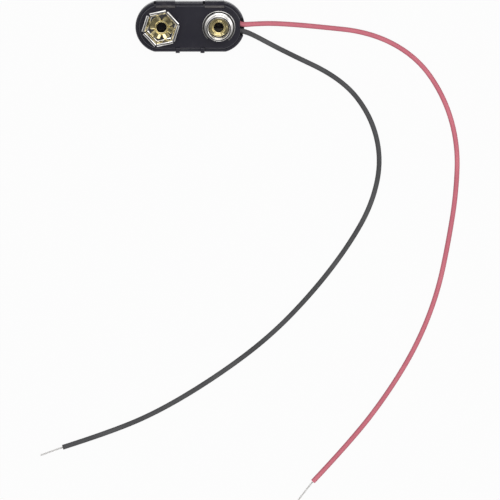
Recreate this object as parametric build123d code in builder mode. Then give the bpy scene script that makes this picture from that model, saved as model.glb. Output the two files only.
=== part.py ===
from build123d import *
import math
import os

# Snap connector for a 9 V battery, in millimetres, with its back on z = 0.
# X runs from the socket to the stud and on to the leads, and Z points out of the terminals.

os.makedirs("parts", exist_ok=True)

# Terminals, a standard pair
terminal_pitch = 12.7
socket_throat = 5.74  # across the flats, where the battery's stud goes in
stud_diameter = 5.72

# Moulded shell
end_radius = 5.8  # round each terminal's axis, at the rim
flat_inset = 0.2  # how far the long flats cut into the round ends
shell_height = 3.5
shell_wall = 0.7
shell_floor = 0.8
shell_draft = 2.5  # degrees
foot_round = 0.6
rim_round = 0.4
ledge_width = 0.45

# Terminal plate
plate_thickness = 1.0
plate_rise = 0.3  # above the rim
plate_bevel = 0.18
seam_gap = 0.07

# Snap hooks, long sprung ones on +Y and short stiff ones on -Y
long_hook = 4.3
long_hook_offset = 5.45
short_hook = 0.9
short_hook_offset = 2.75
hook_proud = 0.2
long_hook_lap = 0.65
short_hook_lap = 0.4
hook_flat = 0.12  # flat top past the inside of the rim
hook_rise = 0.1  # above the plate
hook_nose = 0.12
hook_edge = 0.15
hook_foot = 1.0
hook_foot_slope = 0.5
hook_slit = 0.5
slit_bottom = 1.2
hook_clearance = 0.06

# Notch and saddle for the leads
notch_width = 4.0
notch_setback = 0.32
saddle_start = 8.5
saddle_length = 0.8
saddle_width = 6.0
saddle_clearance = 0.08

# Six-petal socket, folded sheet
socket_sheet = 0.3
socket_height = 2.95
foot_spread = 0.31  # of the petals' feet, outwards from the throat
lip_spread = 0.54  # of the petals' lips, outwards from the throat
socket_neck = 2.2  # height of the throat above the plate
lip_drop = 0.3
lip_bend = 0.17
socket_foot_bend = 0.6
socket_neck_bend = 0.6
petal_slit = 0.28
socket_turn = 12.8  # degrees, the first slit

# Stud, drawn sheet
stud_sheet = 0.25
stud_height = 2.9
stud_flange = 7.3
stud_neck = 5.36
neck_top = 0.75
bead_start = 1.5
cup_bore = 4.6
cup_floor = 1.05  # height of the cup's floor above the plate
stud_bend = 0.2
rim_bend = 0.15
flange_gap_start = 226
flange_gap_end = 306

# Brass eyelets
eyelet_bore = 2.2
eyelet_wall = 0.3
eyelet_head = 3.9
eyelet_round = 0.2
flare_round = 0.14
hole_clearance = 0.05
socket_flare = 5.2
stud_flare = 4.3
star_gaps = [(8, 14), (88, 34), (197, 24), (272, 26), (322, 12)]  # degrees: middle, width
star_root = 1.45  # radius where the gaps start
stud_splits = [(4, 9), (-60, 8)]
split_root = 1.8

# Solder tags
tag_sheet = 0.3
tag_ring = 4.2
tag_width = 0.9
tag_crank_start = 2.4
tag_crank_end = 3.0
tag_reach = 4.4
socket_tag_turn = 29  # degrees, the way the tab points
stud_tag_turn = 196

# Leads
lead_diameter = 1.1
conductor_diameter = 0.4
core_clearance = 0.02
lead_height = 1.5  # axis inside the housing
lay_clearance = 0.01
solder_radius = 0.45
solder_film = 0.05  # between the core and the tag's tab
solder_length = 2.2
core_in_solder = 2.1
solder_cover = 0.35  # past the end of the core
strip_bend = 0.7  # from the end of the insulation to the bend in the bare core
strip_bend_arc = 0.65  # taken by the bend on both sides

# Levels
shell_width = 2 * (end_radius - flat_inset)
socket_foot = socket_throat + socket_sheet + 2 * foot_spread  # across the flats, middle of the sheet
socket_lip = socket_throat + socket_sheet + 2 * lip_spread
plate_top = shell_height + plate_rise
plate_bottom = plate_top - plate_thickness
tag_bottom = plate_bottom - tag_sheet
head_bottom = tag_bottom - eyelet_wall
socket_floor_top = plate_top + socket_sheet
cup_floor_top = plate_top + cup_floor + stud_sheet
lead_radius = lead_diameter / 2
conductor_radius = conductor_diameter / 2
lay_height = lead_radius + lay_clearance
tab_underside = lead_height + conductor_radius + solder_film
barrel_radius = eyelet_bore / 2 + eyelet_wall
socket_x = -terminal_pitch / 2
stud_x = terminal_pitch / 2
shell_end_x = stud_x + end_radius

# Routes of the leads, one point for each corner, in the housing and then on the table
red_route = [
    (-1.3, 1.9, lead_height),
    (3.2, 1.9, lead_height),
    (7.7, 1.75, lead_height),
    (12.2, 0.35, lead_height),
    (20.0, 0.3, 0.9),
    (27.5, 0.0, lay_height),
    (40.2, -1.9, lay_height),
    (50.1, -7.3, lay_height),
    (56.3, -16.1, lay_height),
    (59.4, -26.4, lay_height),
    (59.2, -37.4, lay_height),
    (57.4, -48.9, lay_height),
    (54.8, -60.2, lay_height),
    (50.5, -71.6, lay_height),
    (44.3, -82.5, lay_height),
    (36.2, -93.0, lay_height),
    (27.3, -102.5, lay_height),
]
black_route = [
    (3.9, -0.97, lead_height),
    (12.1, -0.97, lead_height),
    (20.4, -5.6, lay_height),
    (33.1, -11.9, lay_height),
    (40.0, -20.0, lay_height),
    (42.4, -30.1, lay_height),
    (40.9, -40.0, lay_height),
    (35.4, -49.6, lay_height),
    (27.6, -59.6, lay_height),
    (17.7, -70.0, lay_height),
    (5.9, -79.1, lay_height),
    (-7.3, -87.0, lay_height),
    (-18.4, -91.8, lay_height),
    (-28.4, -94.8, lay_height),
]
# Straight runs of both leads over the saddle
saddle_runs = [red_route[2:4], black_route[0:2]]
# Tips of the stripped cores
red_tip = (24.0, -106.7, lay_height)
black_tip = (-33.4, -96.6, lay_height)


def save(builder, name):
    builder.part.label = name
    export_step(builder.part, f"parts/{name}.step")


def upright_plane(x):
    # Across the housing's length, with Z up in the sketch
    return Plane((x, 0, 0), x_dir=(1, 0, 0), z_dir=(0, -1, 0))


def housing_outline(inset):
    # Round ends about the terminals' axes, trimmed by the two long flats
    SlotCenterToCenter(terminal_pitch, 2 * (end_radius - inset))
    Rectangle(terminal_pitch + 2 * end_radius, shell_width - 2 * inset, mode=Mode.INTERSECT)


def hook_places(gap):
    # Middle, length, side and lap of each hook, grown by a gap
    places = []
    for x in (-1, 1):
        places.append((x * long_hook_offset, long_hook + 2 * gap, 1, long_hook_lap + gap))
        places.append((x * short_hook_offset, short_hook + 2 * gap, -1, short_hook_lap + gap))
    return places


outer_face = shell_width / 2 + hook_proud
rim_inside = shell_width / 2 - shell_wall
hook_top = plate_top + hook_rise

# Shell: a drafted tray with a ledge for the plate, hooks on its long sides and a notch for the leads
with BuildPart() as back_shell:
    foot_inset = shell_height * math.tan(math.radians(shell_draft))
    with BuildSketch():
        housing_outline(foot_inset)
    extrude(amount=shell_height, taper=-shell_draft)
    fillet(back_shell.faces().sort_by(Axis.Z)[0].edges(), foot_round)
    fillet(back_shell.faces().sort_by(Axis.Z)[-1].edges(), rim_round)
    for middle, length, side, lap in hook_places(0):
        nose_tip = rim_inside - lap
        with BuildSketch(Plane.YZ.offset(middle)):
            with BuildLine():
                Polyline(
                    (side * rim_inside, hook_foot),
                    (side * (outer_face - hook_foot_slope), hook_foot),
                    (side * outer_face, hook_foot + 2 * hook_foot_slope),
                    (side * outer_face, hook_top - hook_edge),
                    (side * (outer_face - hook_edge), hook_top),
                    (side * (rim_inside - hook_flat), hook_top),
                    (side * nose_tip, shell_height + hook_nose),
                    (side * nose_tip, shell_height),
                    (side * rim_inside, shell_height),
                    close=True,
                )
            make_face()
        extrude(amount=length / 2, both=True)
    with BuildSketch(Plane.XY.offset(plate_bottom)):
        housing_outline(shell_wall)
    extrude(amount=plate_thickness - plate_rise, mode=Mode.SUBTRACT)
    with BuildSketch(Plane.XY.offset(shell_floor)):
        housing_outline(shell_wall + ledge_width)
    extrude(amount=plate_bottom - shell_floor, mode=Mode.SUBTRACT)
    for side in (-1, 1):
        slit_x = side * long_hook_offset - long_hook / 2 - hook_slit / 2
        with BuildSketch(Plane.XY.offset(slit_bottom)):
            with Locations((slit_x, rim_inside + shell_wall)):
                Rectangle(hook_slit, 2 * shell_wall)
        extrude(amount=shell_height - slit_bottom, mode=Mode.SUBTRACT)
    with BuildSketch(Plane.XY.offset(shell_floor)):
        with Locations((stud_x, 0)):
            Rectangle(2 * end_radius, notch_width, align=(Align.MIN, Align.CENTER))
    extrude(amount=shell_height - shell_floor, mode=Mode.SUBTRACT)
    with BuildSketch(Plane.XY.offset(shell_floor)):
        with Locations((saddle_start + saddle_length / 2, 0)):
            Rectangle(saddle_length, saddle_width)
    extrude(amount=lead_height - shell_floor)
    for run_start, run_end in saddle_runs:
        run = Vector(*run_end) - Vector(*run_start)
        with BuildSketch(Plane(run_start, z_dir=run)):
            Circle(lead_radius + saddle_clearance)
        extrude(amount=run.length, mode=Mode.SUBTRACT)
save(back_shell, "back_shell")

# Plate: bevelled all round, recessed under the hooks, with a rib that holds the leads down
with BuildPart() as terminal_plate:
    with BuildSketch(Plane.XY.offset(plate_bottom)):
        housing_outline(shell_wall + seam_gap)
    extrude(amount=plate_thickness)
    chamfer(terminal_plate.faces().sort_by(Axis.Z)[-1].edges(), plate_bevel)
    plate_end = shell_end_x - shell_wall - seam_gap - notch_setback
    with BuildSketch(Plane.XY.offset(plate_bottom)):
        with Locations((plate_end, 0)):
            Rectangle(2 * notch_setback, notch_width, align=(Align.MIN, Align.CENTER))
    extrude(amount=plate_thickness, mode=Mode.SUBTRACT)
    recess_floor = shell_height - hook_clearance
    for middle, length, side, lap in hook_places(hook_clearance):
        with BuildSketch(Plane.XY.offset(recess_floor)):
            with Locations((middle, side * rim_inside)):
                Rectangle(length, 2 * lap)
        extrude(amount=plate_top - recess_floor, mode=Mode.SUBTRACT)
    with BuildSketch(Plane.XY.offset(plate_bottom)):
        with Locations((saddle_start + saddle_length / 2, 0)):
            Rectangle(saddle_length, saddle_width)
    rib_drop = plate_bottom - lead_height - lead_radius - saddle_clearance
    extrude(amount=-rib_drop)
    with BuildSketch(Plane.XY.offset(plate_bottom)):
        with Locations((socket_x, 0), (stud_x, 0)):
            Circle(barrel_radius + hole_clearance)
    extrude(amount=plate_thickness, mode=Mode.SUBTRACT)
save(terminal_plate, "terminal_plate")

# Socket: one petal from a bent strip, repeated six times round a flat hexagon
with BuildPart() as petal:
    throat_middle = socket_throat / 2 + socket_sheet / 2
    floor_middle = plate_top + socket_sheet / 2
    lip_middle = plate_top + socket_height - socket_sheet / 2
    with BuildSketch(Plane.XZ):
        with BuildLine():
            FilletPolyline(
                (socket_foot / 4, floor_middle),
                (socket_foot / 2, floor_middle),
                (throat_middle, plate_top + socket_neck),
                ((throat_middle + socket_lip / 2) / 2 - lip_bend / 2, lip_middle),
                (socket_lip / 2, lip_middle),
                (socket_lip / 2, lip_middle - lip_drop),
                radius=[socket_foot_bend, socket_neck_bend, lip_bend, lip_bend],
            )
        trace(line_width=socket_sheet)
    extrude(amount=socket_lip / 2, both=True)
    with BuildSketch(Plane.XY.offset(plate_top)):
        # One sixth of the round, held back from each corner by half a slit
        half_slit = petal_slit / 2
        start = half_slit / math.sin(math.radians(30))
        reach = socket_lip
        side = (reach - start) * math.tan(math.radians(30))
        with BuildLine():
            Polyline((start, 0), (reach, side), (reach, -side), close=True)
        make_face()
    extrude(amount=socket_height, mode=Mode.INTERSECT)

with BuildPart() as hex_socket:
    with Locations(Location((socket_x, 0, 0), (0, 0, socket_turn))):
        with PolarLocations(0, 6, start_angle=30):
            add(petal.part)
    # The flat floor reaches to where the petals start to bend
    wall_lean = math.atan2(socket_foot / 2 - throat_middle, socket_neck - socket_sheet / 2)
    bend_reach = socket_foot_bend * math.tan((math.radians(90) + wall_lean) / 2)
    with BuildSketch(Plane.XY.offset(plate_top)):
        with Locations((socket_x, 0)):
            RegularPolygon(
                socket_foot / 2 - bend_reach,
                6,
                major_radius=False,
                rotation=socket_turn,
            )
    extrude(amount=socket_sheet)
    with BuildSketch(Plane.XY.offset(plate_top)):
        with Locations((socket_x, 0)):
            Circle(barrel_radius + hole_clearance)
    extrude(amount=socket_sheet, mode=Mode.SUBTRACT)
save(hex_socket, "hex_socket")

# Stud: one bent line turned round its axis, with a piece of the flange cut away
with BuildPart() as stud_terminal:
    half_sheet = stud_sheet / 2
    with BuildSketch(upright_plane(stud_x)):
        with BuildLine():
            FilletPolyline(
                (stud_flange / 2, plate_top + half_sheet),
                (stud_neck / 2 - half_sheet, plate_top + half_sheet),
                (stud_neck / 2 - half_sheet, plate_top + neck_top),
                (stud_diameter / 2 - half_sheet, plate_top + bead_start),
                (stud_diameter / 2 - half_sheet, plate_top + stud_height - half_sheet),
                (cup_bore / 2 + half_sheet, plate_top + stud_height - half_sheet),
                (cup_bore / 2 + half_sheet, cup_floor_top - half_sheet),
                (barrel_radius + hole_clearance, cup_floor_top - half_sheet),
                radius=[stud_bend, stud_bend, stud_bend, rim_bend, rim_bend, stud_bend],
            )
        trace(line_width=stud_sheet)
    revolve(axis=Axis((stud_x, 0, 0), (0, 0, 1)))
    with BuildSketch(Plane.XY.offset(plate_top)):
        with BuildLine():
            gap_start = PolarLine((stud_x, 0), stud_flange, flange_gap_start)
            gap_end = PolarLine((stud_x, 0), stud_flange, flange_gap_end)
            Line(gap_start @ 1, gap_end @ 1)
        make_face()
        with Locations((stud_x, 0)):
            Circle(stud_neck / 2 + stud_bend + half_sheet, mode=Mode.SUBTRACT)
    extrude(amount=stud_sheet, mode=Mode.SUBTRACT)
save(stud_terminal, "stud_terminal")


def eyelet(x, seat, flare_diameter, root, gaps):
    # Head under the tag, barrel through the stack, tail rolled out over the seat and split
    inside = eyelet_bore / 2
    tail = seat + eyelet_wall
    with BuildPart() as clinched:
        with BuildSketch(upright_plane(x)) as profile:
            with BuildLine():
                Polyline(
                    (inside, head_bottom),
                    (eyelet_head / 2, head_bottom),
                    (eyelet_head / 2, tag_bottom),
                    (barrel_radius, tag_bottom),
                    (barrel_radius, seat),
                    (flare_diameter / 2, seat),
                    (flare_diameter / 2, tail),
                    (inside, tail),
                    close=True,
                )
            make_face()
            fillet(profile.vertices().group_by(Axis.X)[-1].sort_by(Axis.Z)[-1], flare_round)
            fillet(profile.vertices().group_by(Axis.X)[0], eyelet_round)
        revolve(axis=Axis((x, 0, 0), (0, 0, 1)))
        for middle, width in gaps:
            half = math.radians(width / 2)
            reach = flare_diameter / 2 / math.cos(half)
            gap_plane = Plane((x, 0, seat), x_dir=Vector(1, 0, 0).rotate(Axis.Z, middle))
            with BuildSketch(gap_plane):
                with BuildLine():
                    Polyline(
                        (root, 0),
                        (reach, reach * math.sin(half)),
                        (reach, -reach * math.sin(half)),
                        close=True,
                    )
                make_face()
            extrude(amount=eyelet_wall, mode=Mode.SUBTRACT)
    return clinched


save(eyelet(socket_x, socket_floor_top, socket_flare, star_root, star_gaps), "socket_eyelet")
save(eyelet(stud_x, cup_floor_top, stud_flare, split_root, stud_splits), "stud_eyelet")


def solder_tag(x, turn):
    # A ring under the plate with a tab cranked down to the lead's core
    along = Vector(1, 0, 0).rotate(Axis.Z, turn)
    across = along.rotate(Axis.Z, -90)
    with BuildPart() as tag:
        with BuildSketch(Plane((x, 0, tag_bottom))):
            Circle(tag_ring / 2)
        extrude(amount=tag_sheet)
        with BuildSketch(Plane((x, 0, 0), x_dir=along, z_dir=across)):
            with BuildLine():
                Polyline(
                    (0, tag_bottom),
                    (tag_crank_start, tag_bottom),
                    (tag_crank_end, tab_underside),
                    (tag_reach, tab_underside),
                    (tag_reach, tab_underside + tag_sheet),
                    (tag_crank_end, tab_underside + tag_sheet),
                    (tag_crank_start, plate_bottom),
                    (0, plate_bottom),
                    close=True,
                )
            make_face()
        extrude(amount=tag_width / 2, both=True)
        with BuildSketch(Plane((x, 0, tag_bottom))):
            Circle(barrel_radius + hole_clearance)
        extrude(amount=tag_sheet, mode=Mode.SUBTRACT)
    return tag


socket_solder_tag = solder_tag(socket_x, socket_tag_turn)
save(socket_solder_tag, "socket_solder_tag")
stud_solder_tag = solder_tag(stud_x, stud_tag_turn)
save(stud_solder_tag, "stud_solder_tag")


def arc_radius(before, corner, after, arc):
    # The arc that starts and ends at the given distance from the corner
    half_turn = math.radians((corner - before).get_angle(after - corner)) / 2
    return arc / math.tan(half_turn)


def corner_radii(route):
    # Each arc takes 0.45 of the shorter of its two runs on both sides of the corner
    points = [Vector(*point) for point in route]
    radii = []
    for before, corner, after in zip(points, points[1:], points[2:]):
        shorter = min((corner - before).length, (after - corner).length)
        radii.append(arc_radius(before, corner, after, 0.45 * shorter))
    return radii


def tube(route, radii, radius, bore=0):
    with BuildPart() as swept:
        with BuildLine():
            path = FilletPolyline(*route, radius=radii)
        with BuildSketch(Plane(path @ 0, z_dir=path % 0)):
            Circle(radius)
            if bore:
                Circle(bore, mode=Mode.SUBTRACT)
        sweep()
    return swept, path.length


def stretched(route, at_start, at_end):
    # The route made longer at both ends, along its first and last runs
    points = [Vector(*point) for point in route]
    first = points[0] + (points[0] - points[1]).normalized() * at_start
    last = points[-1] + (points[-1] - points[-2]).normalized() * at_end
    return [first, *points[1:-1], last]


def solder_joint(route, core):
    # A lens of solder round the end of the core, flat under the tag's tab
    x, y, z = stretched(route, core_in_solder + solder_cover - solder_length / 2, 0)[0]
    with BuildPart() as joint:
        with BuildSketch(Plane((x, y, z), z_dir=(0, -1, 0), x_dir=(1, 0, 0))):
            with BuildLine():
                ThreePointArc((-solder_length / 2, 0), (0, solder_radius), (solder_length / 2, 0))
                Line((-solder_length / 2, 0), (solder_length / 2, 0))
            make_face()
        revolve(axis=Axis((x, y, z), (1, 0, 0)))
        with BuildSketch(Plane((x, y, tab_underside))):
            Rectangle(2 * solder_length, 4 * solder_radius)
        extrude(amount=solder_radius, mode=Mode.SUBTRACT)
        add(core.part, mode=Mode.SUBTRACT)
    return joint


for colour, route, tip in (("red", red_route, red_tip), ("black", black_route, black_tip)):
    radii = corner_radii(route)
    lead, length = tube(route, radii, lead_radius, conductor_radius + core_clearance)
    save(lead, f"{colour}_lead")
    core_route = [*stretched(route, core_in_solder, strip_bend), Vector(*tip)]
    core_radii = [*radii, arc_radius(*core_route[-3:], strip_bend_arc)]
    core, core_length = tube(core_route, core_radii, conductor_radius)
    save(core, f"{colour}_conductor")
    save(solder_joint(route, core), f"{colour}_solder_joint")
    section = math.pi * (lead_radius**2 - (conductor_radius + core_clearance) ** 2)
    print(f"{colour}: insulation {length:.1f} mm, core {core_length:.1f} mm")
    print(f"  volume {lead.part.volume:.2f}, section times length {section * length:.2f} mm3")
    print("  radii", [round(radius, 1) for radius in radii])
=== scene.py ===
import math

import bmesh
import bpy
import numpy as np
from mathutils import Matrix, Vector


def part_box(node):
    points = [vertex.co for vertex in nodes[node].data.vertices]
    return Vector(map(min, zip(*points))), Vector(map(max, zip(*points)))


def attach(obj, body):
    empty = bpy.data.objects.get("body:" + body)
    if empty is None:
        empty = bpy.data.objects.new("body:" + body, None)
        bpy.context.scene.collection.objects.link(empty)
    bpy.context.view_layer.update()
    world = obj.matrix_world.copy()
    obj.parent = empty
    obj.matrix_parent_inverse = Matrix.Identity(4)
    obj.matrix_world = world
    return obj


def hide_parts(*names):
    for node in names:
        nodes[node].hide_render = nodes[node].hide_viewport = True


# Dresses the snap connector: terminals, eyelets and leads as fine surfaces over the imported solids.
# All lengths are metres in the frame of the solids, and mm turns millimetres into them.

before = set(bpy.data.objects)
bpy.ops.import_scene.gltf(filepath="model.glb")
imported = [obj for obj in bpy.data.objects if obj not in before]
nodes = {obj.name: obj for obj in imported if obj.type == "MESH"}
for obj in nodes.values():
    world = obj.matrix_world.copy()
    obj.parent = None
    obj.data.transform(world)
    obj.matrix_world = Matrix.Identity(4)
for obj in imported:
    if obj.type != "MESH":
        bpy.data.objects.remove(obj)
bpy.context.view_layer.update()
mm = 0.001
print("frame loaded,", len(nodes), "nodes")


# Lines, surfaces and pieces


def roundedLine(corners, radii, steps=8):
    # Straight sides joined by arcs. An arc starts r tan(turn / 2) before its corner. At angle a along it
    # the point has moved r sin(a) along the first side and r (1 - cos(a)) towards the second.
    corners, radii = np.array(corners, float), np.array(radii, float)
    sides = np.diff(corners, axis=0)
    sides /= np.linalg.norm(sides, axis=1, keepdims=True)
    before, after = sides[:-1], sides[1:]
    cross = before[:, 0] * after[:, 1] - before[:, 1] * after[:, 0]
    turn = np.arctan2(cross, (before * after).sum(axis=1))
    start = corners[1:-1] - before * (radii * np.tan(np.abs(turn) / 2))[:, None]
    inward = np.stack([-before[:, 1], before[:, 0]], axis=1) * np.sign(turn)[:, None]
    angle = np.abs(turn)[:, None, None] * np.linspace(0, 1, steps)[None, :, None]
    arcs = before[:, None] * np.sin(angle) + inward[:, None] * (1 - np.cos(angle))
    arcs = start[:, None] + radii[:, None, None] * arcs
    return np.concatenate([corners[:1], arcs.reshape(-1, 2), corners[-1:]])


def sheetOutline(line, thickness, capSteps=5):
    # The middle line of a sheet moved half a thickness to both sides, closed by a half round at each end
    along = np.gradient(line, axis=0)
    along /= np.linalg.norm(along, axis=1, keepdims=True)
    across = np.stack([-along[:, 1], along[:, 0]], axis=1) * thickness / 2
    ahead = along * thickness / 2
    angle = np.linspace(0, math.pi, capSteps + 2)[1:-1, None]
    endCap = line[-1] + np.cos(angle) * across[-1] + np.sin(angle) * ahead[-1]
    startCap = line[0] - np.cos(angle) * across[0] - np.sin(angle) * ahead[0]
    return np.concatenate([line + across, endCap, (line - across)[::-1], startCap])


def turnedGrid(heights, radius, centre, angles):
    # A ring at each height about an upright axis, with its own radius at each angle:
    # x = cx + r cos(a), y = cy + r sin(a)
    height = np.repeat(np.reshape(heights, (-1, 1)), len(angles), axis=1)
    x = centre[0] + radius * np.cos(angles)
    y = centre[1] + radius * np.sin(angles)
    return np.stack([x, y, height], axis=-1)


def angleFrom(angles, middle):
    # Signed angle from a middle direction, between minus and plus half a turn
    return (angles - middle + math.pi) % (2 * math.pi) - math.pi


def skinFaces(grid, wrapRows, first):
    # Quads between neighbours on the grid. Columns close up; rows close up too, or get an end face each.
    rows, columns = grid.shape[:2]
    index = first + np.arange(rows * columns).reshape(rows, columns)
    beside = np.roll(index, -1, axis=1)
    last = rows if wrapRows else rows - 1
    quads = [index, beside, np.roll(beside, -1, axis=0), np.roll(index, -1, axis=0)]
    faces = np.stack([corner[:last] for corner in quads], axis=-1).reshape(-1, 4).tolist()
    if not wrapRows:
        faces += [index[0, ::-1].tolist(), index[-1].tolist()]
    return faces


def finishMesh(mesh, sharpAngle):
    # Faces turned outwards and shaded smooth, apart from edges sharper than the angle
    work = bmesh.new()
    work.from_mesh(mesh)
    bmesh.ops.recalc_face_normals(work, faces=work.faces)
    work.to_mesh(mesh)
    work.free()
    mesh.shade_smooth()
    mesh.set_sharp_from_angle(angle=math.radians(sharpAngle))


def placed(name, data):
    # A new object in the scene, at the origin
    made = bpy.data.objects.new(name, data)
    bpy.context.scene.collection.objects.link(made)
    return made


def skin(name, patches, sharpAngle=40):
    # One object from several grids of points, each a closed shell, with its faces turned outwards
    points, faces, count = [], [], 0
    for grid, wrapRows in patches:
        faces += skinFaces(grid, wrapRows, count)
        points.append(grid.reshape(-1, 3))
        count += len(points[-1])
    mesh = bpy.data.meshes.new(name)
    mesh.from_pydata(np.concatenate(points).tolist(), [], faces)
    finishMesh(mesh, sharpAngle)
    return placed(name, mesh)


def mergedCopy(name, nodeName, look):
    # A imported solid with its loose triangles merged, its flat faces joined and its edges rounded
    mesh = nodes[nodeName].data.copy()
    mesh.materials.clear()
    work = bmesh.new()
    work.from_mesh(mesh)
    bmesh.ops.remove_doubles(work, verts=work.verts, dist=look["mergeWithin"])
    flat = math.radians(look["flatAngle"])
    bmesh.ops.dissolve_limit(work, angle_limit=flat, verts=work.verts, edges=work.edges)
    work.to_mesh(mesh)
    work.free()
    finishMesh(mesh, look["sharpAngle"])
    piece = placed(name, mesh)
    bevel = piece.modifiers.new("edges", "BEVEL")
    bevel.width = look["edge"]
    bevel.segments = look["segments"]
    bevel.limit_method = "ANGLE"
    bevel.angle_limit = math.radians(look["sharpAngle"])
    bevel.use_clamp_overlap = True
    bevel.harden_normals = True
    return piece


def dress(piece, material, replaced):
    piece.data.materials.append(material)
    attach(piece, "root")
    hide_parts(replaced)


# Materials


class Wire:
    # A node's output. Arithmetic on it adds Math nodes, so 1 - mask and a * b + c read as they are.
    def __init__(self, paint, socket):
        self.paint, self.socket = paint, socket

    def step(self, operation, first, second):
        return self.paint.node("ShaderNodeMath", {"operation": operation}, {0: first, 1: second})

    def __add__(self, other):
        return self.step("ADD", self, other)

    def __sub__(self, other):
        return self.step("SUBTRACT", self, other)

    def __rsub__(self, other):
        return self.step("SUBTRACT", other, self)

    def __mul__(self, other):
        return self.step("MULTIPLY", self, other)

    def __abs__(self):
        return self.paint.node("ShaderNodeMath", {"operation": "ABSOLUTE"}, {0: self})

    def power(self, other):
        return self.step("POWER", self, other)

    def clamped(self):
        return self.paint.node("ShaderNodeClamp", {}, {0: self})

    __radd__, __rmul__ = __add__, __mul__


class Paint:
    # A node tree that is filled by node(type, settings, sockets); sockets take values or Wires
    def __init__(self, tree):
        self.tree = tree
        tree.nodes.clear()

    def node(self, kind, settings, sockets, output=0):
        made = self.tree.nodes.new(kind)
        for name, value in settings.items():
            setattr(made, name, value)
        for name, value in sockets.items():
            if isinstance(value, Wire):
                self.tree.links.new(value.socket, made.inputs[name])
            else:
                made.inputs[name].default_value = value
        return Wire(self, made.outputs[output]) if made.outputs else None

    def ramp(self, value, low, high):
        # 0 below low, 1 above high and a smooth step between
        sockets = {"Value": value, "From Min": low, "From Max": high}
        return self.node("ShaderNodeMapRange", {"interpolation_type": "SMOOTHSTEP"}, sockets)

    def blend(self, share, first, second):
        # Two colours mixed by a share
        sockets = {"Factor": share, 6: first, 7: second}
        return self.node("ShaderNodeMix", {"data_type": "RGBA"}, sockets, output=2)

    def parts(self, vector):
        # The x, y and z of a vector
        return [self.node("ShaderNodeSeparateXYZ", {}, {0: vector}, output=part) for part in range(3)]

    def rays(self):
        # Whether a ray comes from the camera, from a reflection or through something clear
        kinds = ("Is Camera Ray", "Is Glossy Ray", "Is Transmission Ray")
        return [self.node("ShaderNodeLightPath", {}, {}, output=kind) for kind in kinds]

    def place(self, scale, stretch):
        # Object coordinates times a scale, in patterns per metre
        here = self.node("ShaderNodeTexCoord", {}, {}, output="Object")
        size = tuple(scale * part for part in stretch)
        return self.node("ShaderNodeMapping", {}, {"Vector": here, "Scale": size})

    def noise(self, scale, detail, stretch=(1, 1, 1)):
        sockets = {"Vector": self.place(scale, stretch), "Scale": 1.0, "Detail": detail}
        return self.node("ShaderNodeTexNoise", {}, sockets)

    def bump(self, height, distance):
        sockets = {"Height": height, "Distance": distance, "Strength": 1.0}
        return self.node("ShaderNodeBump", {}, sockets)

    def shine(self, sockets):
        return self.node("ShaderNodeBsdfPrincipled", {}, sockets)


def newMaterial(name, build):
    material = bpy.data.materials.new(name)
    material.use_nodes = True
    paint = Paint(material.node_tree)
    surface = build(paint)
    paint.node("ShaderNodeOutputMaterial", {}, {"Surface": surface})
    return material


# Patterns are (noise scale in patterns per metre, detail), and bands are (nothing below, all above)
plasticLook = {
    "colour": (0.024, 0.023, 0.033, 1),
    "worn": (0.037, 0.036, 0.046, 1),
    # Lighter colour: a painted highlight on the hook noses, and rubbed wear in patches on the rim top
    "sheenAndRub": (0.12, 0.11, 0.11, 1),
    "roughness": 0.17,
    "cloud": (220, 4),
    "cloudBand": (0.35, 0.75),
    "cloudShare": 0.3,
    "cloudRoughness": 0.12,
    "scuff": (2600, 3, (1, 0.12, 1)),
    "scuffBand": (0.62, 0.72),
    "scuffShare": 0.35,
    "scuffRoughness": 0.08,
    "grain": (9000, 2),
    "grainHeight": 0.003 * mm,
    "index": 1.5,
}
# Where the painted highlight on the hook noses and the rubbed patches on the rim top lie
noseSheenRimRubLook = {
    "noseFront": (4.15 * mm, 4.35 * mm),
    "noseBack": (4.75 * mm, 4.95 * mm),
    "noseStart": (3.2 * mm, 3.4 * mm),
    "noseEnd": (7.4 * mm, 7.7 * mm),
    "noseHeight": (3.45 * mm, 3.65 * mm),
    "noseSheenShare": 0.65,
    "rim": (700, 3),
    "rimBand": (0.45, 0.7),
    "rimHeight": (3.78 * mm, 3.9 * mm),
    "rimShare": 0.2,
}


def noseSheenRimRub(paint, look):
    # A painted highlight on the front slopes of the long hooks' noses, and rubbed patches on the top of
    # the rim: bands of height, y and |x|
    x, y, height = paint.parts(paint.node("ShaderNodeTexCoord", {}, {}, output="Object"))
    # Painted highlight: the nose slopes are made lighter in place of the light that falls on them
    noseSheen = paint.ramp(y, *look["noseFront"]) * (1 - paint.ramp(y, *look["noseBack"]))
    noseSheen = noseSheen * paint.ramp(abs(x), *look["noseStart"]) * (1 - paint.ramp(abs(x), *look["noseEnd"]))
    noseSheen = noseSheen * paint.ramp(height, *look["noseHeight"])
    rim = paint.ramp(paint.noise(*look["rim"]), *look["rimBand"]) * paint.ramp(height, *look["rimHeight"])
    return (noseSheen * look["noseSheenShare"] + rim * look["rimShare"]).clamped()


def mouldedPlastic(paint):
    look = plasticLook
    cloud = paint.noise(*look["cloud"])
    scuff = paint.ramp(paint.noise(*look["scuff"]), *look["scuffBand"])
    worn = scuff * look["scuffShare"] + paint.ramp(cloud, *look["cloudBand"]) * look["cloudShare"]
    colour = paint.blend(worn, look["colour"], look["worn"])
    return paint.shine({
        # The lighter colour is a painted highlight on the hook noses and rubbed wear on the rim top
        "Base Color": paint.blend(noseSheenRimRub(paint, noseSheenRimRubLook), colour, look["sheenAndRub"]),
        "Roughness": look["roughness"] + cloud * look["cloudRoughness"] - scuff * look["scuffRoughness"],
        "IOR": look["index"],
        "Normal": paint.bump(paint.noise(*look["grain"]), look["grainHeight"]),
    })


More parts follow.
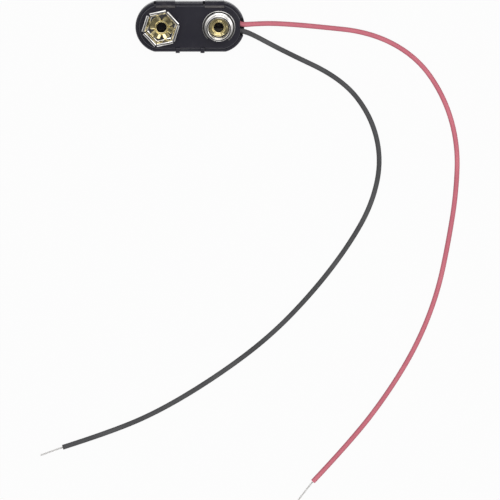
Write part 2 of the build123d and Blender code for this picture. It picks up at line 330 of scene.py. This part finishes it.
nickelLook = {
    "colour": (0.78, 0.765, 0.745, 1),
    "dull": (0.64, 0.62, 0.59, 1),
    "roughness": 0.07,
    "dullRoughness": 0.08,
    "dullBand": (0.45, 0.8),
    "dullShare": 0.6,
    "cloud": (500, 3),
    "fine": (1500, 2),
    "fineHeight": 0.0008 * mm,
}
brassLook = {
    "colour": (0.95, 0.83, 0.46, 1),
    "dull": (0.68, 0.55, 0.23, 1),
    "roughness": 0.13,
    "dullRoughness": 0.12,
    "dullBand": (0.45, 0.8),
    "dullShare": 0.6,
    "cloud": (1100, 4),
    "fine": (3000, 3),
    "fineHeight": 0.0015 * mm,
}


def brightMetal(look):
    # Polished metal with duller and rougher clouds
    def build(paint):
        dull = paint.ramp(paint.noise(*look["cloud"]), *look["dullBand"])
        return paint.shine({
            "Base Color": paint.blend(dull * look["dullShare"], look["colour"], look["dull"]),
            "Metallic": 1.0,
            "Roughness": look["roughness"] + dull * look["dullRoughness"],
            "Normal": paint.bump(paint.noise(*look["fine"]), look["fineHeight"]),
        })

    return build


tinLook = {
    "colour": (0.93, 0.92, 0.905, 1),
    "dull": (0.76, 0.75, 0.74, 1),
    "metallic": 0.7,
    "roughness": 0.42,
    "cloudRoughness": 0.15,
    "cloud": (1500, 3),
    "cloudHeight": 0.01 * mm,
}


def tinnedMetal(paint):
    cloud = paint.noise(*tinLook["cloud"])
    return paint.shine({
        "Base Color": paint.blend(cloud, tinLook["colour"], tinLook["dull"]),
        "Metallic": tinLook["metallic"],
        "Roughness": tinLook["roughness"] + cloud * tinLook["cloudRoughness"],
        "Normal": paint.bump(cloud, tinLook["cloudHeight"]),
    })


redLook = {"colour": (0.57, 0.160, 0.205, 1), "light": (0.65, 0.200, 0.245, 1)}
blackLook = {"colour": (0.074, 0.074, 0.077, 1), "light": (0.105, 0.105, 0.108, 1)}
insulationLook = {
    "cloud": (160, 3),
    "cloudBand": (0.3, 0.8),
    "roughness": 0.5,
    "fine": (2500, 3),
    "fineRoughness": 0.1,
    "fineHeight": 0.008 * mm,
    "index": 1.45,
    "specular": 0.1,
}


def insulation(colours):
    # Nearly matt flexible plastic, the same for both leads apart from its colours
    def build(paint):
        look = insulationLook
        light = paint.ramp(paint.noise(*look["cloud"]), *look["cloudBand"])
        fine = paint.noise(*look["fine"])
        return paint.shine({
            "Base Color": paint.blend(light, colours["colour"], colours["light"]),
            "Roughness": look["roughness"] + fine * look["fineRoughness"],
            "IOR": look["index"],
            "Specular IOR Level": look["specular"],
            "Normal": paint.bump(fine, look["fineHeight"]),
        })

    return build


shellPlastic = newMaterial("shellPlastic", mouldedPlastic)
terminalNickel = newMaterial("terminalNickel", brightMetal(nickelLook))
eyeletBrass = newMaterial("eyeletBrass", brightMetal(brassLook))
tinnedCore = newMaterial("tinnedCore", tinnedMetal)
redInsulation = newMaterial("redInsulation", insulation(redLook))
blackInsulation = newMaterial("blackInsulation", insulation(blackLook))
print("materials made")


# Housing

housingLook = {
    "edge": 0.05 * mm,
    "segments": 2,
    "mergeWithin": 0.002 * mm,
    "flatAngle": 1,
    "sharpAngle": 35,
}
for pieceName, nodeName in (("shellBody", "back_shell"), ("plateBody", "terminal_plate")):
    body = mergedCopy(pieceName, nodeName, housingLook)
    dress(body, shellPlastic, nodeName)
for nodeName in ("socket_solder_tag", "stud_solder_tag", "red_solder_joint", "black_solder_joint"):
    nodes[nodeName].data.materials.clear()
    nodes[nodeName].data.materials.append(tinnedCore)
print("housing dressed")


# Terminals

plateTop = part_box("hex_socket")[0].z
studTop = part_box("stud_terminal")[1].z
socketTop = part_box("hex_socket")[1].z

# The gap is where the flange is left out, from and to in degrees, and gapEdge is half the width of the
# step at each side of it, in radians
studShape = {
    "sheet": 0.25 * mm,
    "flange": 7.3 * mm,
    "neck": 5.36 * mm,
    "bead": 5.72 * mm,
    "neckTop": 0.95 * mm,
    "beadStart": 1.6 * mm,
    "cup": 4.6 * mm,
    "cupFloor": 1.05 * mm,
    "hole": 2.9 * mm,
    "bends": np.array([0.78, 0.3, 0.3, 0.1, 0.1, 0.2]) * mm,
    "gap": (226, 306),
    "gapReach": 0.3 * mm,
    "gapSquash": 0.04,
    "gapEdge": 0.004,
    "columns": 240,
}
terminalPitch = 12.7 * mm
studCentre = (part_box("stud_terminal")[0].x + studShape["flange"] / 2, 0.0)
socketCentre = (studCentre[0] - terminalPitch, 0.0)


def studGrid(shape):
    half = shape["sheet"] / 2
    neck, bead = shape["neck"] / 2 - half, shape["bead"] / 2 - half
    cup, top = shape["cup"] / 2 + half, studTop - half
    line = roundedLine(
        [
            (shape["flange"] / 2 - half, plateTop + half),
            (neck, plateTop + half),
            (neck, plateTop + shape["neckTop"]),
            (bead, plateTop + shape["beadStart"]),
            (bead, top),
            (cup, top),
            (cup, plateTop + shape["cupFloor"] + half),
            (shape["hole"] / 2 + half, plateTop + shape["cupFloor"] + half),
        ],
        shape["bends"],
    )
    outline = sheetOutline(line, shape["sheet"])
    edges = np.radians(shape["gap"])
    even = np.linspace(0, 2 * math.pi, shape["columns"], endpoint=False)
    angles = np.unique(np.concatenate([even, edges - shape["gapEdge"], edges + shape["gapEdge"]]))
    # Between the two edges of the gap the flange is squashed in to the neck's bend:
    # r = limit + (r - limit) squash
    inGap = (angles > edges[0]) & (angles < edges[1])
    limit = neck + shape["gapReach"]
    radius = np.repeat(outline[:, :1], len(angles), axis=1)
    squashed = limit + (radius - limit) * shape["gapSquash"]
    radius = np.where(inGap & (radius > limit), squashed, radius)
    return turnedGrid(outline[:, 1], radius, studCentre, angles)


stud = skin("studSkin", [(studGrid(studShape), True)])
dress(stud, terminalNickel, "stud_terminal")

# The turn is the direction of the first slit, in degrees, and spread how far each petal is bent open
socketShape = {
    "sheet": 0.3 * mm,
    "foot": 6.66 * mm,
    "throat": 5.74 * mm,
    "lip": 7.18 * mm,
    "neck": 2.2 * mm,
    "lipDrop": 0.3 * mm,
    "slit": 0.12 * mm,
    "lipWidth": 3.7 * mm,
    "hole": 2.9 * mm,
    "turn": 12.8,
    "footBend": 0.6 * mm,
    "neckBend": 0.6 * mm,
    "lipBend": 0.15 * mm,
    "lipCurl": 0.22 * mm,
    "bendSteps": 10,
    "intoFloor": 0.01 * mm,
    "floorStep": 2.0,
    "edge": 0.07 * mm,
    "edgeSteps": 4,
    "spread": np.array([-0.03, 0.24, 0.36, 0.16, 0.04, -0.04]) * mm,
}


def floorReach(shape):
    # How far the flat floor goes before a petal bends up: foot - r tan(turn / 2)
    lean = math.atan2(
        shape["foot"] / 2 - shape["throat"] / 2 - shape["sheet"] / 2,
        shape["neck"] - shape["sheet"] / 2,
    )
    return shape["foot"] / 2 - shape["footBend"] * math.tan((math.pi / 2 + lean) / 2)


def petalGrids(shape):
    # A rounded bar section carried along the bent line of a petal. It is as wide as the slits leave it
    # there, and no wider than the lip. The bends are a hair tighter than stated, so that arcs never meet.
    bendFit = 0.98
    half = shape["sheet"] / 2
    foot, throat, lip = shape["foot"] / 2, shape["throat"] / 2 + half, shape["lip"] / 2
    top = socketTop - half
    line = roundedLine(
        [
            (floorReach(shape) - shape["intoFloor"], plateTop + half),
            (foot, plateTop + half),
            (throat, plateTop + shape["neck"]),
            ((throat + lip - shape["lipBend"]) / 2, top),
            (lip, top),
            (lip, top - shape["lipDrop"]),
        ],
        np.array([shape[bend] for bend in ("footBend", "neckBend", "lipBend", "lipCurl")]) * bendFit,
        steps=shape["bendSteps"],
    )
    along = np.gradient(line, axis=0)
    along /= np.linalg.norm(along, axis=1, keepdims=True)
    across = np.stack([-along[:, 1], along[:, 0]], axis=1)
    width = np.minimum((line[:, 0] - shape["slit"]) * math.tan(math.radians(30)), shape["lipWidth"] / 2)
    edge, edgeSteps = shape["edge"], shape["edgeSteps"]
    quarterTurn = np.linspace(0, math.pi / 2, edgeSteps)
    corner = np.concatenate([quarterTurn + count * math.pi / 2 for count in range(4)])
    signX = np.repeat([1, -1, -1, 1], edgeSteps)
    signY = np.repeat([1, 1, -1, -1], edgeSteps)
    side = signX * (width[:, None] - edge) + edge * np.cos(corner)
    lift = signY * (half - edge) + edge * np.sin(corner)
    radial = line[:, :1] + across[:, :1] * lift
    height = line[:, 1:] + across[:, 1:] * lift
    # A petal that is bent open stands further out, by spread (height / full height)^2
    rise = np.clip((height - plateTop) / (socketTop - plateTop), 0, 1) ** 2
    grids = []
    turns = np.radians(shape["turn"] + 30 + 60 * np.arange(len(shape["spread"])))
    for turn, spread in zip(turns, shape["spread"]):
        reach = radial + rise * spread
        x = socketCentre[0] + reach * math.cos(turn) - side * math.sin(turn)
        y = socketCentre[1] + reach * math.sin(turn) + side * math.cos(turn)
        grids.append((np.stack([x, y, height], axis=-1), False))
    return grids


def socketFloor(shape):
    # A flat washer whose outer edge is the hexagon of the folds. With the angle taken from the middle of a
    # side, r = apothem / cos(angle)
    apothem = floorReach(shape)
    angles = np.radians(shape["turn"] + np.arange(0, 360, shape["floorStep"]))
    off = (angles - math.radians(shape["turn"])) % math.radians(60) - math.radians(30)
    outer = apothem / np.cos(off)
    inner = np.full_like(angles, shape["hole"] / 2)
    radius = np.stack([inner, outer, outer, inner])
    low, high = plateTop, plateTop + shape["sheet"]
    return turnedGrid([low, low, high, high], radius, socketCentre, angles)


socket = skin("socketSkin", petalGrids(socketShape) + [(socketFloor(socketShape), True)])
dress(socket, terminalNickel, "hex_socket")
print("terminals dressed")


# Eyelets

# Gaps are the splits in a tail, as (middle, width) in degrees, and root is the radius they reach in to
eyeletShape = {
    "bore": 2.2 * mm,
    "wall": 0.3 * mm,
    "head": 3.9 * mm,
    "crest": 0.27 * mm,
    "slope": 0.16 * mm,
    "sag": 0.2 * mm,
    "rimWidth": 0.06 * mm,
    "rimDrop": 0.12 * mm,
    "undercut": 0.03 * mm,
    "bends": np.array([0.2, 0.12, 0.15, 0.05, 0.04, 0.02, 0.02, 0.02, 0.04, 0.06, 0.2]) * mm,
    "bendSteps": 7,
    "seam": 0.01 * mm,
    "drawnIn": 0.05,
    "curlReach": 22,
    "ripples": 5,
    "ripplePhase": 0.7,
    "rippleAbove": 0.05 * mm,
    "leanBelow": 0.9 * mm,
    "leanOver": 0.6 * mm,
    "columns": 360,
}
socketEyelet = {
    "flare": 5.2 * mm,
    "root": 1.45 * mm,
    "gaps": [(8, 14), (88, 34), (197, 24), (272, 26), (322, 12)],
    "wave": 0.05 * mm,
    "curl": 0.12 * mm,
    "rise": 0.08 * mm,
    "lean": 0.0,
}
studEyelet = {
    "flare": 4.2 * mm,
    "root": 1.8 * mm,
    "gaps": [(4, 9), (-60, 8)],
    "wave": 0.02 * mm,
    "curl": 0.03 * mm,
    "rise": -0.03 * mm,
    "lean": 0.18 * mm,
}


def eyeletGrid(shape, tail, nodeName, centre):
    # Head, barrel and rolled tail turned about the axis. At each split the tail is drawn in along a V:
    # the radius left there grows from the root to the full flare as the angle leaves the split's middle.
    low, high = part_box(nodeName)
    bore, barrel = shape["bore"] / 2, shape["bore"] / 2 + shape["wall"]
    head, flare, top = shape["head"] / 2, tail["flare"] / 2, high.z
    seat, tagBottom = top - shape["wall"], low.z + shape["wall"]
    crest, edgeTop, middle = bore + shape["crest"], top + tail["rise"], (low.z + top) / 2
    corners = [
        (bore, middle),
        (bore, top),
        (crest, top),
        (crest + shape["slope"], top - shape["sag"]),
        (flare - shape["rimWidth"], edgeTop),
        (flare, edgeTop - shape["rimDrop"]),
        (flare - shape["undercut"], seat + max(tail["rise"], 0)),
        (barrel, seat),
        (barrel, tagBottom),
        (head, tagBottom),
        (head, low.z),
        (bore, low.z),
        (bore, middle - shape["seam"]),
    ]
    outline = roundedLine(corners, shape["bends"], shape["bendSteps"])[:-1]
    angles = np.linspace(0, 2 * math.pi, shape["columns"], endpoint=False)
    left, curl = np.ones_like(angles), np.zeros_like(angles)
    for turn, width in tail["gaps"]:
        off = np.abs(angleFrom(angles, math.radians(turn))) / math.radians(width / 2)
        left = np.minimum(left, np.clip(off, shape["drawnIn"], 1))
        curl = np.maximum(curl, np.exp(-((np.maximum(off - 1, 0) * width / shape["curlReach"]) ** 2)))
    radius = np.repeat(outline[:, :1], len(angles), axis=1)
    inTail = (radius > tail["root"]) & (outline[:, 1:] > seat - shape["seam"])
    radius = np.where(inTail, tail["root"] + (radius - tail["root"]) * left, radius)
    grid = turnedGrid(outline[:, 1], radius, centre, angles)
    # The tips curl up beside each split and lie a little unevenly: wave (sin(ripples a + phase) - 1) / 2
    out = np.clip((radius - tail["root"]) / (flare - tail["root"]), 0, 1)
    ripple = (np.sin(angles * shape["ripples"] + shape["ripplePhase"]) - 1) / 2 * tail["wave"]
    rise = np.where(outline[:, 1:] > seat + shape["rippleAbove"], ripple, 0) + curl * tail["curl"]
    grid[..., 2] += np.where(inTail, out * rise, 0)
    # The punch has set the tail a little to one side, from leanBelow under the top upwards
    leaning = (outline[:, 1:] - top + shape["leanBelow"]) / shape["leanOver"]
    grid[..., 1] += np.clip(leaning, 0, 1) * tail["lean"]
    return grid


for pieceName, nodeName, tail, centre in (
    ("socketEyeletSkin", "socket_eyelet", socketEyelet, socketCentre),
    ("studEyeletSkin", "stud_eyelet", studEyelet, studCentre),
):
    eyelet = skin(pieceName, [(eyeletGrid(eyeletShape, tail, nodeName, centre), True)])
    dress(eyelet, eyeletBrass, nodeName)
print("eyelets dressed")


# Leads

# Control points of the two centre lines, in millimetres
leadHeight = 1.5
layHeight = 0.56
redRoute = [
    (-1.3, 1.9, leadHeight),
    (3.2, 1.9, leadHeight),
    (7.7, 1.75, leadHeight),
    (9.9, 1.07, leadHeight),
    (11.5, 0.23, leadHeight),
    (13.5, 0.36, 1.4),
    (17.6, 0.51, 1.1),
    (22.0, 0.24, 0.75),
    (27.5, -0.24, layHeight),
    (40.3, -1.59, layHeight),
    (50.3, -7.1, layHeight),
    (56.4, -16.0, layHeight),
    (59.4, -26.4, layHeight),
    (59.1, -37.4, layHeight),
    (57.3, -48.9, layHeight),
    (54.9, -60.3, layHeight),
    (50.5, -71.6, layHeight),
    (44.1, -82.4, layHeight),
    (36.2, -92.9, layHeight),
    (27.3, -102.5, layHeight),
]
redTip = (24.0, -106.7, layHeight)
blackRoute = [
    (3.9, -0.97, leadHeight),
    (10.0, -0.97, leadHeight),
    (11.5, -1.13, leadHeight),
    (13.6, -1.82, 1.35),
    (20.5, -5.7, layHeight),
    (33.5, -11.9, layHeight),
    (40.0, -20.0, layHeight),
    (42.5, -29.8, layHeight),
    (40.5, -39.9, layHeight),
    (35.2, -49.4, layHeight),
    (27.5, -59.6, layHeight),
    (17.7, -69.9, layHeight),
    (5.8, -78.9, layHeight),
    (-7.3, -86.9, layHeight),
    (-18.5, -91.6, layHeight),
    (-28.4, -94.8, layHeight),
]
blackTip = (-33.4, -96.6, layHeight)
leadShape = {
    "diameter": 1.1 * mm,
    "bore": 0.44 * mm,
    "step": 0.5 * mm,
    "columns": 28,
    "exitX": 12.15 * mm,
    "exitHeight": leadHeight * mm,
    "firstStretch": 25 * mm,
    "swelling": 0.03 * mm,
    "swellingReach": 1.3 * mm,
    "unevenness": 0.004 * mm,
    "unevenPitch": 3.1 * mm,
}
strandShape = {
    "around": 6,
    "radius": 0.066 * mm,
    "columns": 6,
    "pitch": 3.4 * mm,
    "step": 0.28 * mm,
    "intoSolder": 2.1 * mm,
    "bend": 0.7 * mm,
}


def splinePoints(route, name):
    # The line of a NURBS spline with the route's points as its control points
    curve = bpy.data.curves.new(name, "CURVE")
    curve.dimensions = "3D"
    curve.resolution_u = 24
    spline = curve.splines.new("NURBS")
    spline.points.add(len(route) - 1)
    for point, place in zip(spline.points, route):
        point.co = (*place, 1)
    spline.order_u = 3
    spline.use_endpoint_u = True
    holder = bpy.data.objects.new(name, curve)
    mesh = bpy.data.meshes.new_from_object(holder)
    points = np.empty(len(mesh.vertices) * 3)
    mesh.vertices.foreach_get("co", points)
    bpy.data.objects.remove(holder)
    bpy.data.curves.remove(curve)
    bpy.data.meshes.remove(mesh)
    return points.reshape(-1, 3) * mm


def evenly(points, step):
    # The same line at even distances along it, and each point's distance from the start. Points less
    # than a nanometre apart count as one.
    gaps = np.linalg.norm(np.diff(points, axis=0), axis=1)
    points = points[np.concatenate([[True], gaps > 1e-9])]
    reach = np.concatenate([[0], np.cumsum(np.linalg.norm(np.diff(points, axis=0), axis=1))])
    at = np.linspace(0, reach[-1], int(round(reach[-1] / step)) + 1)
    return np.stack([np.interp(at, reach, points[:, axis]) for axis in range(3)], axis=1), at


def crossDirections(line):
    # Two directions across a line that never stands upright: level, and square to level and line
    along = np.gradient(line, axis=0)
    along /= np.linalg.norm(along, axis=1, keepdims=True)
    level = np.cross([0, 0, 1], along)
    level /= np.linalg.norm(level, axis=1, keepdims=True)
    return level, np.cross(along, level)


def tubeGrid(line, radius, columns):
    # point = line + r cos(a) level + r sin(a) upright, with r from an array along the line
    level, upright = crossDirections(line)
    angle = np.linspace(0, 2 * math.pi, columns, endpoint=False)[None, :, None]
    ring = np.cos(angle) * level[:, None] + np.sin(angle) * upright[:, None]
    return line[:, None] + radius[:, None, None] * ring


def insulationGrid(shape, points):
    # Outside from the start to the end and the bore back again, closed both ways. The outside swells a
    # little where it leaves the housing, by swelling exp(-(x / reach)^2), and is slightly uneven.
    line, at = evenly(points, shape["step"])
    outer = np.full(len(line), shape["diameter"] / 2)
    fromExit = (line[:, 0] - shape["exitX"]) / shape["swellingReach"]
    swelling = np.exp(-(fromExit**2)) * (at < shape["firstStretch"])
    outer += swelling * shape["swelling"] + np.sin(at / shape["unevenPitch"]) * shape["unevenness"]
    inner = np.full(len(line), shape["bore"] / 2)
    outside = tubeGrid(line, outer, shape["columns"])
    inside = tubeGrid(line, inner, shape["columns"])[::-1]
    return np.concatenate([outside, inside])


def strandGrids(shape, points):
    # One straight strand and six round it, each a tube about a helix: angle = turn + 2 pi s / pitch
    line, at = evenly(points, shape["step"])
    level, upright = crossDirections(line)
    radius = np.full(len(line), shape["radius"])
    grids = [(tubeGrid(line, radius, shape["columns"]), False)]
    for turn in np.arange(shape["around"]) * 2 * math.pi / shape["around"]:
        angle = (turn + 2 * math.pi * at / shape["pitch"])[:, None]
        helix = line + 2 * shape["radius"] * (np.cos(angle) * level + np.sin(angle) * upright)
        grids.append((tubeGrid(helix, radius, shape["columns"]), False))
    return grids


def buildLead(colour, route, tip, material):
    points = splinePoints(route, colour + "Line")
    lead = skin(colour + "LeadSkin", [(insulationGrid(leadShape, points), True)])
    dress(lead, material, colour + "_lead")
    # The core runs on past the insulation and bends a little there
    end = Vector(route[-1])
    ahead = (end - Vector(route[-2])).normalized()
    tailRoute = [tuple(end), tuple(end + ahead * strandShape["bend"] / mm), tip]
    tail = splinePoints(tailRoute, colour + "TailLine")
    first = points[0] - [strandShape["intoSolder"], 0, 0]
    corePoints = np.concatenate([[first], points, tail])
    strands = skin(colour + "Strands", strandGrids(strandShape, corePoints))
    dress(strands, tinnedCore, colour + "_conductor")


buildLead("red", redRoute, redTip, redInsulation)
buildLead("black", blackRoute, blackTip, blackInsulation)


# Camera, floor and light

viewShape = {
    "tilt": 8.5,
    "middle": (13.27 * mm, -50.49 * mm, 0),
    "width": 111.1 * mm,
    "distance": 4.0,
    "sensor": 36,
    "clipEnd": 20,
}


def makeCamera(shape):
    camera = placed("camera", bpy.data.cameras.new("camera"))
    tilt = math.radians(shape["tilt"])
    towards = Vector((0, math.sin(tilt), math.cos(tilt)))
    camera.location = Vector(shape["middle"]) + towards * shape["distance"]
    camera.rotation_euler = (-tilt, 0, 0)
    camera.data.sensor_width = shape["sensor"]
    camera.data.lens = shape["sensor"] * shape["distance"] / shape["width"]
    camera.data.clip_end = shape["clipEnd"]
    bpy.context.scene.camera = camera


floorLook = {"grey": (0.42, 0.42, 0.42, 1), "lift": 0.96, "half": 3.0, "level": -0.02 * mm}


def floorSurface(paint):
    # Plain pale floor. The camera and reflections see it lifted towards white, with the shadow kept.
    diffuse = paint.node("ShaderNodeBsdfDiffuse", {}, {"Color": floorLook["grey"]})
    glow = paint.node("ShaderNodeEmission", {}, {"Color": (1, 1, 1, 1), "Strength": 1.0})
    camera, glossy, through = paint.rays()
    seen = (camera + glossy + through).clamped()
    return paint.node("ShaderNodeMixShader", {}, {0: seen * floorLook["lift"], 1: diffuse, 2: glow})


def makeFloor(look):
    mesh = bpy.data.meshes.new("floor")
    half, level = look["half"], look["level"]
    corners = [(-half, -half, level), (half, -half, level), (half, half, level), (-half, half, level)]
    mesh.from_pydata(corners, [], [(0, 1, 2, 3)])
    floor = placed("floor", mesh)
    mesh.materials.append(newMaterial("paleFloor", floorSurface))


worldLook = {
    "overhead": 2.0,
    "overheadPower": 3,
    "front": 0.28,
    "back": 1.35,
    "backward": (0.2, 0.95),
    "sideBand": (-0.5, 0.5),
    "zenith": 0.035,
    "zenithBand": (0.66, 0.96),
}


def makeWorld(look):
    # Metal mirrors sides that are brighter behind the object than in front, and a dark ceiling:
    # strength = side + (zenith - side) step(height). Matt surfaces get soft light from above, and its
    # strength is overhead height^power
    world = bpy.data.worlds.new("studio")
    world.use_nodes = True
    bpy.context.scene.world = world
    paint = Paint(world.node_tree)
    x, y, height = paint.parts(paint.node("ShaderNodeTexCoord", {}, {}, output="Generated"))
    camera, glossy, through = paint.rays()
    seen = (camera + glossy + through).clamped()
    lit = paint.ramp(x * look["backward"][0] + y * look["backward"][1], *look["sideBand"])
    side = lit * (look["back"] - look["front"]) + look["front"]
    mirrored = side + paint.ramp(height, *look["zenithBand"]) * (look["zenith"] - side)
    soft = height.clamped().power(look["overheadPower"]) * look["overhead"]
    strength = camera + glossy * mirrored + through + (1 - seen) * soft
    sky = paint.node("ShaderNodeBackground", {}, {"Color": (1, 1, 1, 1), "Strength": strength})
    paint.node("ShaderNodeOutputWorld", {}, {"Surface": sky})


# Places and sizes in metres, power in watts
lampLook = {
    "backLamp": {"place": (0.10, 0.55, 0.80), "size": 0.55, "power": 1.7},
    "rightLamp": {"place": (0.80, 0.30, 0.45), "size": 0.45, "power": 1.1},
    "frontLamp": {"place": (-0.10, -0.90, 0.45), "size": 0.45, "power": 1.0},
}


def makeLamps(looks):
    target = Vector(viewShape["middle"])
    for name, look in looks.items():
        lamp = placed(name, bpy.data.lights.new(name, "AREA"))
        lamp.data.shape = "SQUARE"
        lamp.data.size = look["size"]
        lamp.data.energy = look["power"]
        lamp.location = look["place"]
        lamp.rotation_euler = (target - lamp.location).to_track_quat("-Z", "Y").to_euler()


makeCamera(viewShape)
makeFloor(floorLook)
makeWorld(worldLook)
makeLamps(lampLook)
bpy.context.scene.view_settings.view_transform = "Standard"
print("camera, floor and light set")
